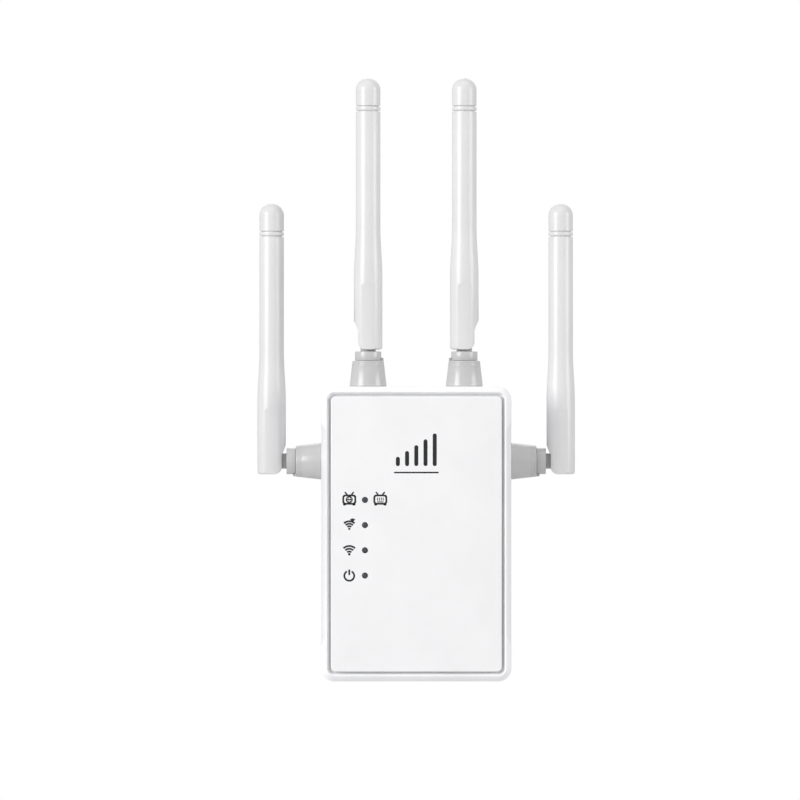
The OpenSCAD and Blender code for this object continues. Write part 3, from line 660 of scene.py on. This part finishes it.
class EXTENDER_OT_lights(bpy.types.Operator):
    """The smoked light guide: four domed lenses on one bar"""

    bl_idname = "extender.lights"
    bl_label = "Status lights"

    def execute(self, context):
        radius = light_radius()
        face = GUIDE_LOW.y
        bar = GUIDE_HIGH.y - 1.4 * MM
        dome = 0.25 * MM
        outline = [(0, face), (radius * 0.45, face + 0.12 * dome), (radius * 0.8, face + 0.5 * dome)]
        outline += [(radius * 0.97, face + dome), (radius, face + 1.6 * dome)]
        outline += [(radius, bar + 0.5 * MM), (0, bar + 0.5 * MM)]
        stem = turned("light_stem", outline, 40)
        swing = Matrix(((1, 0, 0), (0, 0, 1), (0, -1, 0))).to_4x4()
        places = light_places()
        parts = []
        for i, (x, z) in enumerate(places):
            parts.append(copied(stem, f"light_{i}", Matrix.Translation((x, 0, z)) @ swing))
        bpy.data.objects.remove(stem)
        low = Vector((GUIDE_LOW.x, bar, GUIDE_LOW.z))
        parts.append(block("guide_bar", low, GUIDE_HIGH, 1.2 * MM))
        piece = joined("light_guide_lenses", parts)
        smooth(piece, 40)
        hand_over(piece, CASING, "smoked_acrylic", "smoked_acrylic", "light_guide")
        return {"FINISHED"}


class Ink:
    """Draws flat printed strokes on the front panel."""

    def __init__(self, relief_height, stroke):
        self.stroke = stroke
        self.front = PANEL_FACE - relief_height
        self.back = PANEL_FACE + 0.05 * MM
        self.marks = []

    def bar(self, x, z, width, height, lean=0.0):
        """A bar with rounded ends about a centre, leaning so many degrees to the right."""
        half = Vector((width / 2, 0, height / 2))
        low, high = -half, half
        low.y, high.y = self.front, self.back
        mark = block("mark", low, high, 0.48 * min(width, height), 4)
        mark.data.transform(
            Matrix.Translation((x, 0, z)) @ Matrix.Rotation(math.radians(lean), 4, "Y")
        )
        self.marks.append(mark)

    def arc(self, x, z, radius, start=0.0, end=360.0, width=None, squeeze=1.0):
        """A curved stroke about a centre, from one angle to another counted from +X to +Z."""
        width = width or self.stroke
        low, high = radius - width / 2, radius + width / 2
        outline = [(low, self.front), (high, self.front), (high, self.back), (low, self.back)]
        span = math.radians(end - start)
        steps = max(6, int(abs(end - start) / 7))
        mark = turned("mark", outline + outline[:1], steps, span)
        if end - start < 359:
            close_ends(mark)
        swing = Matrix(((1, 0, 0), (0, 0, 1), (0, 1, 0))).to_4x4()
        # a spin runs clockwise, so the stroke is drawn from its end
        turn = Matrix.Rotation(-math.radians(end), 4, "Y")
        mark.data.transform(
            Matrix.Translation((x, 0, z)) @ Matrix.Diagonal((squeeze, 1, 1, 1)) @ turn @ swing
        )
        self.marks.append(tidy(mark))

    def dot(self, x, z, radius):
        """A filled disc."""
        mark = begin(
            "mark", "cylinder", vertices=24, radius=radius, depth=self.back - self.front,
            location=(x, (self.front + self.back) / 2, z), rotation=(math.pi / 2, 0, 0),
        )
        self.marks.append(mark)

    def waves(self, x, z, radii, half_angle, width=None):
        """Arcs above a point, as for a radio signal."""
        for radius in radii:
            self.arc(x, z, radius, 90 - half_angle, 90 + half_angle, width)

    def frame(self, x, z, width, height, line):
        """A cushion-shaped frame with two short aerials on top."""
        low = Vector((x - width / 2, self.front, z - height / 2))
        high = Vector((x + width / 2, self.back, z + height / 2))
        outer = block("mark", low, high, 0.28 * height)
        inset = Vector((line, 0, line))
        deep = Vector((0, MM, 0))
        inner = block("tool", low + inset - deep, high - inset + deep, 0.16 * height)
        self.marks.append(combine(outer, "DIFFERENCE", inner))
        for side in (-1, 1):
            self.bar(
                x + side * 0.24 * width, z + 0.62 * height, 0.8 * line, 0.38 * height, side * 42
            )
            self.bar(x + side * 0.34 * width, z - 0.5 * height, 0.22 * width, 0.9 * line)


class EXTENDER_OT_symbols(bpy.types.Operator):
    """The printed pictograms: signal bars, networks, repeater, radio and power"""

    bl_idname = "extender.symbols"
    bl_label = "Printed symbols"

    def execute(self, context):
        sizes = context.scene.extender_sizes
        ink = Ink(sizes.print_relief, sizes.stroke)
        line = sizes.stroke
        # rising signal bars over a thin rule, in the middle of the upper part
        foot = 16.1 * MM
        for i in range(5):
            height = (3.0 + 1.9 * i) * MM
            ink.bar((-6.0 + 3.0 * i) * MM, foot + height / 2, 1.3 * MM, height)
        ink.bar(0, 14.0 * MM, 14.6 * MM, 0.5 * MM)
        lights = light_places()
        column = lights[0][0] - 5.1 * MM
        # wide network: a globe in a frame
        x, z = column, lights[0][1] + 0.1 * MM
        thin = 0.62 * line
        ink.frame(x, z, 4.5 * MM, 3.3 * MM, line)
        ink.arc(x, z, 0.95 * MM, width=thin)
        ink.arc(x, z, 0.95 * MM, width=thin, squeeze=0.42)
        ink.bar(x, z, 1.9 * MM, thin)
        # local network: the contacts of a port in a frame
        x = lights[0][0] + 5.0 * MM
        ink.frame(x, z, 4.5 * MM, 3.3 * MM, line)
        for i in range(4):
            ink.bar(x + (i - 1.5) * 0.62 * MM, z + 0.15 * MM, 0.26 * MM, 1.1 * MM)
        ink.bar(x, z - 0.75 * MM, 2.2 * MM, 0.3 * MM)
        # repeater: radio waves with a smaller fan beside them
        z = lights[1][1] - 1.3 * MM
        ink.waves(column, z, (0.95 * MM, 1.75 * MM, 2.55 * MM), 43)
        ink.dot(column, z + 0.1 * MM, 0.36 * MM)
        fan = 2.1 * MM
        ink.waves(column + 1.1 * MM, z + fan, (0.5 * MM, 0.85 * MM, 1.2 * MM), 38, 0.34 * MM)
        # radio
        z = lights[2][1] - 1.4 * MM
        ink.waves(column, z, (1.0 * MM, 1.9 * MM, 2.8 * MM), 43)
        ink.dot(column, z + 0.12 * MM, 0.42 * MM)
        # power
        z = lights[3][1] - 0.1 * MM
        ink.arc(column, z, 1.6 * MM, 118, 422)
        ink.bar(column, z + 1.15 * MM, line, 1.9 * MM)
        piece = joined("panel_symbols", ink.marks)
        hand_over(piece, CASING, "screen_ink", None)
        return {"FINISHED"}


class EXTENDER_OT_plug(bpy.types.Operator):
    """The plug body, its two pins and their insulating sleeves"""

    bl_idname = "extender.plug"
    bl_label = "Plug"

    def execute(self, context):
        edge = context.scene.extender_sizes.shell_edge
        hand_over(from_cad("plug_boss", 2 * edge), CASING, "moulded_abs_shell", "shell_white", "plug_boss")
        to_y = Matrix(((1, 0, 0), (0, 0, 1), (0, -1, 0))).to_4x4()
        sleeve_low, sleeve_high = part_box("pin_sleeves")
        sleeve_radius = (sleeve_high.z - sleeve_low.z) / 2
        sleeves = []
        for node in ("plug_pin_left", "plug_pin_right"):
            low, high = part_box(node)
            radius = (high.x - low.x) / 2
            bore, tail = 1.5 * MM, 0.8 * MM
            end, bare = high.y, sleeve_high.y
            seat = low.y + 2.6 * MM
            nose = 1.1 * MM
            outline = [(0, low.y), (tail, low.y), (tail, seat), (bore, seat), (bore, bare)]
            outline += [(radius - 0.1 * MM, bare), (radius, bare + 0.1 * MM)]
            outline += rounded((radius - nose, end - nose), nose, 0, 90, 8) + [(0, end)]
            pin = turned(node + "_turned", outline, 48)
            place = Matrix.Translation(((low.x + high.x) / 2, 0, 0)) @ to_y
            pin.data.transform(place)
            smooth(pin, 40)
            hand_over(pin, CASING, "nickel_plated_brass", "plated_brass", node)
            rim = 0.15 * MM
            outline = [(bore, sleeve_low.y), (sleeve_radius, sleeve_low.y)]
            outline += [(sleeve_radius, bare - rim), (sleeve_radius - rim, bare), (bore, bare)]
            sleeve = turned("sleeve", outline + outline[:1], 48)
            sleeve.data.transform(place)
            sleeves.append(tidy(sleeve))
        piece = joined("pin_sleeves_pair", sleeves)
        smooth(piece, 40)
        hand_over(piece, CASING, "black_pvc_sleeve", "black_insulation", "pin_sleeves")
        return {"FINISHED"}


class EXTENDER_OT_back(bpy.types.Operator):
    """The blank rear label with its printed border, and the case screws"""

    bl_idname = "extender.back"
    bl_label = "Label and screws"

    def execute(self, context):
        low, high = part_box("rear_label")
        label = block("label_film_sheet", low, high, 1.5 * MM)
        hand_over(label, CASING, "polyester_label", "label_film", "rear_label")
        inset, line = Vector((1.2 * MM, 0, 1.2 * MM)), Vector((0.3 * MM, 0, 0.3 * MM))
        skin = Vector((0, 0.02 * MM, 0))
        outer_low, outer_high = low + inset, high - inset + skin
        outer_low.y = high.y - 0.05 * MM
        border = block("label_border", outer_low, outer_high, 0.8 * MM)
        deep = Vector((0, MM, 0))
        inner = block("tool", outer_low + line - deep, outer_high - line + deep, 0.55 * MM)
        combine(border, "DIFFERENCE", inner)
        hand_over(border, CASING, "screen_ink", None)
        screws = from_cad("case_screws", 0.12 * MM)
        hand_over(screws, CASING, "zinc_plated_steel", "zinc_steel", "case_screws")
        return {"FINISHED"}


class EXTENDER_OT_sockets(bpy.types.Operator):
    """The two network sockets and their contacts"""

    bl_idname = "extender.sockets"
    bl_label = "Network sockets"

    def execute(self, context):
        for node in ("lan_socket", "wan_socket"):
            hand_over(from_cad(node, 0.2 * MM), CASING, "glass_filled_socket", "socket_plastic", node)
        contacts = from_cad("socket_contacts", 0.06 * MM)
        hand_over(contacts, CASING, "gold_plate", "gold_plate", "socket_contacts")
        return {"FINISHED"}


class EXTENDER_OT_cones(bpy.types.Operator):
    """The fixed cones on the casing, with their stop lugs and fine rings"""

    bl_idname = "extender.cones"
    bl_label = "Antenna cones"

    def execute(self, context):
        sizes = context.scene.extender_sizes
        low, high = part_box("base_left_inner")
        foot = JOINTS["swivel_turn_left_inner"]["pos_m"][2]
        wide = (high.x - low.x) / 2
        lug = 1.0 * MM
        top = high.z - foot - lug
        end = 5.1 * MM
        bottom = low.z - foot
        spigot, bore, edge = 4.2 * MM, 3.04 * MM, 0.25 * MM
        ring = sizes.cone_rings

        def side(height):
            return wide + (end - wide) * height / top

        outline = [(bore, bottom), (spigot - edge, bottom), (spigot, bottom + edge), (spigot, 0)]
        outline += [(wide - edge, 0), (side(edge), edge)]
        for i in (3, 2, 1):
            height = top - (0.2 + 0.55 * i) * MM
            groove = 0.12 * MM
            outline += [(side(height - groove), height - groove), (side(height) - ring, height)]
            outline += [(side(height + groove), height + groove)]
        outline += [(side(top - edge), top - edge), (side(top) - 0.3 * edge, top - 0.3 * edge)]
        outline += [(end - edge, top), (bore + edge, top), (bore, top - edge)]
        cone = turned("cone", outline + outline[:1], 72)
        inner = 4.45 * MM
        lug_outline = [(inner, top - 0.3 * MM), (end - 0.05 * MM, top - 0.3 * MM)]
        lug_outline += [(end - 0.05 * MM, top + 0.8 * lug), (end - 0.25 * MM, top + lug)]
        lug_outline += [(inner, top + lug)]
        # half the lug's width over its middle radius, as an angle
        half = 1.2 / 4.8
        tab = turned("tab", lug_outline + lug_outline[:1], 10, 2 * half)
        close_ends(tab)
        tab.data.transform(Matrix.Rotation(half, 4, "Z"))
        combine(cone, "UNION", tidy(tab))
        smooth(cone, 30)
        for quarter in QUARTERS:
            piece = copied(cone, f"cone_{quarter}", antenna_matrix(quarter, False))
            hand_over(piece, CASING, "moulded_nylon_hinge", "hinge_nylon", f"base_{quarter}")
        bpy.data.objects.remove(cone)
        return {"FINISHED"}


class EXTENDER_OT_swivels(bpy.types.Operator):
    """The turning collars with the tongues that hold the whips, and the hinge pins"""

    bl_idname = "extender.swivels"
    bl_label = "Collars and hinge pins"

    def execute(self, context):
        for quarter in QUARTERS:
            collar = from_cad(f"swivel_{quarter}", 0.22 * MM)
            hand_over(
                collar, f"swivel_{quarter}", "moulded_nylon_hinge", "hinge_nylon", f"swivel_{quarter}"
            )
            pin = from_cad(f"hinge_pin_{quarter}", 0.12 * MM)
            hand_over(
                pin, f"antenna_{quarter}", "zinc_plated_steel", "zinc_steel", f"hinge_pin_{quarter}"
            )
        return {"FINISHED"}


class EXTENDER_OT_whips(bpy.types.Operator):
    """The four folding whips: one turned sleeve with a milled foot, copied to each hinge"""

    bl_idname = "extender.whips"
    bl_label = "Antenna whips"

    def execute(self, context):
        sizes = context.scene.extender_sizes
        wide, narrow, heel = sizes.whip_radius, sizes.tip_radius, sizes.heel
        top, ring = sizes.whip_top, sizes.ring_depth
        shoulder = top - sizes.cap_length
        taper_start, taper_end = top - 65 * MM, top - 48.6 * MM
        bore = 2.4 * MM
        foot = 0.9 * MM
        width, spacing, lip = 0.4 * MM, 1.5 * MM, 0.12 * MM
        outline = [(0, -heel)] + rounded((wide - foot, foot - heel), foot, -90, 0, 6)
        outline += [(wide, taper_start - 2 * MM)]
        for i in range(9):
            t = i / 8
            ease = t * t * (3 - 2 * t)
            outline.append((wide + (narrow - wide) * ease, taper_start + t * (taper_end - taper_start)))
        for low in (shoulder - spacing - width, shoulder - width):
            outline += [(narrow, low - lip), (narrow - 0.3 * lip, low), (narrow - ring, low)]
            if low < shoulder - spacing:
                outline += [(narrow - ring, low + width), (narrow - 0.3 * lip, low + width)]
                outline += [(narrow, low + width + lip)]
        outline += [(narrow - ring, shoulder), (bore, shoulder), (bore, 5.5 * MM), (0, 5.5 * MM)]
        whip = turned("whip", outline, 96)
        reach = 12 * MM
        flat_top, flat = 15.9 * MM, 4.1 * MM
        tools = []
        for side in (-1, 1):
            low = (-reach, flat if side > 0 else -reach, -heel - MM)
            high = (reach, reach if side > 0 else -flat, flat_top)
            cheek = block("cheek", low, high, 0.1 * MM, 1)
            # the upper end of the flat runs out on a slope, as a moulding does
            edit(cheek, "VERT", lambda p: p.z > flat_top - 0.3 * MM and abs(p.y) > flat + MM)
            bpy.ops.transform.translate(value=(0, 0, 24 * MM))
            bpy.ops.object.mode_set(mode="OBJECT")
            tools.append(cheek)
        slot, slot_end = 1.5 * MM, 3.1 * MM
        tools.append(
            block("slot", (-reach, -slot, -heel - MM), (slot_end, slot, slot_end), 0.1 * MM, 1)
        )
        tools.append(self.notch(reach, heel, wide))
        combine(whip, "DIFFERENCE", *tools)
        soften(whip, 0.16 * MM, 2, 34)
        cap = self.cap(top, sizes.cap_length, narrow, bore)
        for quarter in QUARTERS:
            place = antenna_matrix(quarter, True)
            body = f"antenna_{quarter}"
            piece = copied(whip, f"whip_{quarter}_sleeve", place)
            hand_over(piece, body, "satin_antenna_sleeve", "antenna_white", f"whip_{quarter}")
            piece = copied(cap, f"cap_{quarter}", place)
            hand_over(piece, body, "satin_antenna_sleeve", "antenna_white", f"tip_{quarter}")
        bpy.data.objects.remove(whip)
        bpy.data.objects.remove(cap)
        return {"FINISHED"}

    def notch(self, reach, heel, wide):
        """What is taken off the fold side of the foot: a flat with a round corner and a sloped end."""
        flat, start, end, corner = 3.3 * MM, 2.0 * MM, 5.3 * MM, 2.4 * MM
        past = 1.0 * MM
        rise = (end - start) / (wide - flat)
        middle = (corner - flat, corner - heel)
        outline = rounded(middle, corner, 270, 180, 10)
        outline += [(-flat, start), (-wide - past, end + past * rise)]
        outline += [(-reach, end + past * rise), (-reach, -heel - MM), (middle[0], -heel - MM)]
        tool = drawn("notch", outline, -reach)
        bpy.ops.mesh.edge_face_add()
        bpy.ops.mesh.extrude_region_move(TRANSFORM_OT_translate={"value": (0, 2 * reach, 0)})
        bpy.ops.object.mode_set(mode="OBJECT")
        return tidy(tool)

    def cap(self, top, long, radius, bore):
        """The rounded cap with the stub that plugs it into the whip."""
        shoulder, lip, stub = top - long, 0.12 * MM, bore - 0.05 * MM
        outline = [(0, shoulder - 4 * MM), (stub - lip, shoulder - 4 * MM), (stub, shoulder - 4 * MM + lip)]
        outline += [(stub, shoulder), (radius - lip, shoulder), (radius, shoulder + lip)]
        outline += rounded((0, top - radius), radius, 0, 88, 14) + [(0, top)]
        cap = turned("cap", outline, 96)
        smooth(cap, 34)
        return cap


class EXTENDER_OT_buttons(bpy.types.Operator):
    """The pairing button in the side and the reset button behind its pinhole"""

    bl_idname = "extender.buttons"
    bl_label = "Buttons"

    def execute(self, context):
        for node, edge in (("pair_button", 0.3), ("reset_button", 0.15)):
            hand_over(from_cad(node, edge * MM), node, "moulded_abs_button", "button_white", node)
        return {"FINISHED"}


INSIDE = {
    "main_board": ("solder_masked_board", "circuit_board", 0.08),
    "power_board": ("solder_masked_board", "circuit_board", 0.08),
    "rf_shield": ("tinned_steel", "tinned_steel", 0.06),
    "processor_chip": ("epoxy_package", "epoxy_black", 0.1),
    "memory_chip": ("epoxy_package", "epoxy_black", 0.1),
    "network_transformer": ("epoxy_package", "epoxy_black", 0.2),
    "bridge_rectifier": ("epoxy_package", "epoxy_black", 0.2),
    "status_leds": ("led_epoxy", "led_package", 0.08),
    "aerial_sockets": ("gold_plate", "gold_plate", 0.08),
    "power_transformer": ("polyester_tape", "winding_tape", 0.3),
    "input_capacitor": ("pvc_shrink_sleeve", "capacitor_sleeve", 0.25),
    "output_capacitor": ("pvc_shrink_sleeve", "capacitor_sleeve", 0.25),
    "mains_fuse": ("phenolic_fuse_body", "fuse_brown", 0.6),
    "noise_choke": ("enamelled_copper", "copper_winding", 0.25),
    "board_header": ("natural_nylon", "header_nylon", 0.08),
    "pair_switch": ("tinned_steel", "tinned_steel", 0.12),
    "reset_switch": ("tinned_steel", "tinned_steel", 0.12),
    "antenna_nuts": ("zinc_plated_steel", "zinc_steel", 0.15),
    "antenna_leads": ("fluoropolymer_jacket", "coax_jacket", 0.02),
}


class EXTENDER_OT_inside(bpy.types.Operator):
    """The boards and what stands on them, and the aerials inside the whips"""

    bl_idname = "extender.inside"
    bl_label = "Inside parts"

    def execute(self, context):
        for node, (material, slot, edge) in INSIDE.items():
            hand_over(from_cad(node, edge * MM), CASING, material, slot, node)
        for quarter in QUARTERS:
            node = f"aerial_{quarter}"
            hand_over(from_cad(node, 0.1 * MM), f"antenna_{quarter}", "drawn_brass", "brass_dipole", node)
        return {"FINISHED"}


# ---- stage ----

# azimuth and elevation in degrees, distance and size in metres, power in watts
SOFTBOXES = {
    "key_softbox": (-50, 14, 2.2, 1.1, 28),
    "fill_softbox": (66, 10, 2.4, 1.1, 18),
    "top_softbox": (-10, 78, 2.2, 1.4, 3.5),
    "back_softbox": (175, 30, 2.4, 1.6, 8),
}


class EXTENDER_OT_stage(bpy.types.Operator):
    """The pale floor, the soft studio lights and the camera"""

    bl_idname = "extender.stage"
    bl_label = "Stage"

    def execute(self, context):
        scene = context.scene
        scene.view_settings.view_transform = "Standard"
        aim = Vector((-5.3 * MM, -25 * MM, 37.6 * MM))
        self.world(scene)
        self.floor()
        for name, (azimuth, elevation, away, size, power) in SOFTBOXES.items():
            self.softbox(name, aim, azimuth, elevation, away, size, power)
        away = 3.0
        view_width = 261.2 * MM
        view = bpy.data.cameras.new("camera")
        view.sensor_width = 36
        view.lens = view.sensor_width * away / view_width
        camera = bpy.data.objects.new("camera", view)
        camera.location = aim - Vector((0, away, 0))
        camera.rotation_euler = (math.pi / 2, 0, 0)
        scene.collection.objects.link(camera)
        scene.camera = camera
        return {"FINISHED"}

    def softbox(self, name, aim, azimuth, elevation, away, size, power):
        """A square light that faces the object."""
        a, e = math.radians(azimuth), math.radians(elevation)
        back = Vector((math.sin(a) * math.cos(e), -math.cos(a) * math.cos(e), math.sin(e)))
        light = bpy.data.lights.new(name, "AREA")
        light.energy, light.size = power, size
        lamp = bpy.data.objects.new(name, light)
        lamp.location = aim + back * away
        lamp.rotation_euler = back.to_track_quat("Z", "Y").to_euler()
        bpy.context.scene.collection.objects.link(lamp)

    def floor(self):
        """A pale round floor well below the object. It fades out at its rim and is seen from above only."""
        radius = 2.4
        low = Vector((0, 0, -0.3))
        floor = begin("floor", "circle", vertices=96, radius=radius, fill_type="NGON", location=low)
        made, tree, shader, place = start_finish("matt_floor", Roughness=0.9)
        drift(tree, place, shader, linear("#D3D3D4"), linear("#D7D7D8"), 300)
        far = add_node(tree, "VectorMath", links={0: place}, operation="LENGTH")
        fade = add_node(
            tree, "MapRange", {"From Min": 0.5, "From Max": radius * 0.9}, {"Value": far.outputs["Value"]},
            interpolation_type="SMOOTHSTEP",
        )
        back = add_node(tree, "NewGeometry").outputs["Backfacing"]
        gone = add_node(
            tree, "Math", links={0: back, 1: fade.outputs["Result"]}, operation="MAXIMUM"
        )
        clear = add_node(tree, "BsdfTransparent").outputs["BSDF"]
        mix = add_node(
            tree, "MixShader", links={0: gone.outputs["Value"], 1: shader.outputs["BSDF"], 2: clear}
        )
        tree.links.new(mix.outputs["Shader"], tree.nodes["Material Output"].inputs["Surface"])
        floor.data.materials.append(made)

    def world(self, scene):
        """White behind the object, and a soft light from all round that fades out below."""
        world = bpy.data.worlds.new("studio")
        world.use_nodes = True
        tree = world.node_tree
        soft = tree.nodes["Background"]
        soft.inputs["Color"].default_value = (1, 1, 1, 1)
        way = add_node(tree, "SeparateXYZ", links={0: add_node(tree, "TexCoord").outputs["Generated"]})
        rise = add_node(
            tree, "MapRange", {"From Min": -0.35, "From Max": 0.15, "To Min": 0.08, "To Max": 0.58},
            {"Value": way.outputs["Z"]}, interpolation_type="SMOOTHSTEP",
        )
        tree.links.new(rise.outputs["Result"], soft.inputs["Strength"])
        white = add_node(tree, "Background", {"Color": (1, 1, 1, 1), "Strength": 1.0})
        seen = add_node(tree, "LightPath").outputs["Is Camera Ray"]
        mix = add_node(
            tree, "MixShader", links={0: seen, 1: soft.outputs[0], 2: white.outputs[0]}
        )
        tree.links.new(mix.outputs["Shader"], tree.nodes["World Output"].inputs["Surface"])
        scene.world = world


class EXTENDER_PT_panel(bpy.types.Panel):
    bl_idname = "EXTENDER_PT_panel"
    bl_label = "Range extender"
    bl_space_type = "VIEW_3D"
    bl_region_type = "UI"
    bl_category = "Extender"

    def draw(self, context):
        column = self.layout.column()
        for group in (context.scene.extender_sizes, context.scene.extender_colours):
            for key in group.bl_rna.properties.keys():
                if key not in ("rna_type", "name"):
                    column.prop(group, key)
        for operator in OPERATORS:
            column.operator(operator.bl_idname)


OPERATORS = (
    EXTENDER_OT_stage,
    EXTENDER_OT_covers,
    EXTENDER_OT_panel,
    EXTENDER_OT_lights,
    EXTENDER_OT_symbols,
    EXTENDER_OT_plug,
    EXTENDER_OT_back,
    EXTENDER_OT_sockets,
    EXTENDER_OT_cones,
    EXTENDER_OT_swivels,
    EXTENDER_OT_whips,
    EXTENDER_OT_buttons,
    EXTENDER_OT_inside,
)
CLASSES = (ExtenderSizes, ExtenderColours, *OPERATORS, EXTENDER_PT_panel)


def register():
    for cls in CLASSES:
        bpy.utils.register_class(cls)
    bpy.types.Scene.extender_sizes = bpy.props.PointerProperty(type=ExtenderSizes)
    bpy.types.Scene.extender_colours = bpy.props.PointerProperty(type=ExtenderColours)


def unregister():
    del bpy.types.Scene.extender_sizes
    del bpy.types.Scene.extender_colours
    for cls in reversed(CLASSES):
        bpy.utils.unregister_class(cls)


def main():
    """Makes every piece in turn."""
    register()
    for operator in OPERATORS:
        group, name = operator.bl_idname.split(".")
        getattr(getattr(bpy.ops, group), name)()
    bpy.context.view_layer.update()


if __name__ == "__main__":
    main()
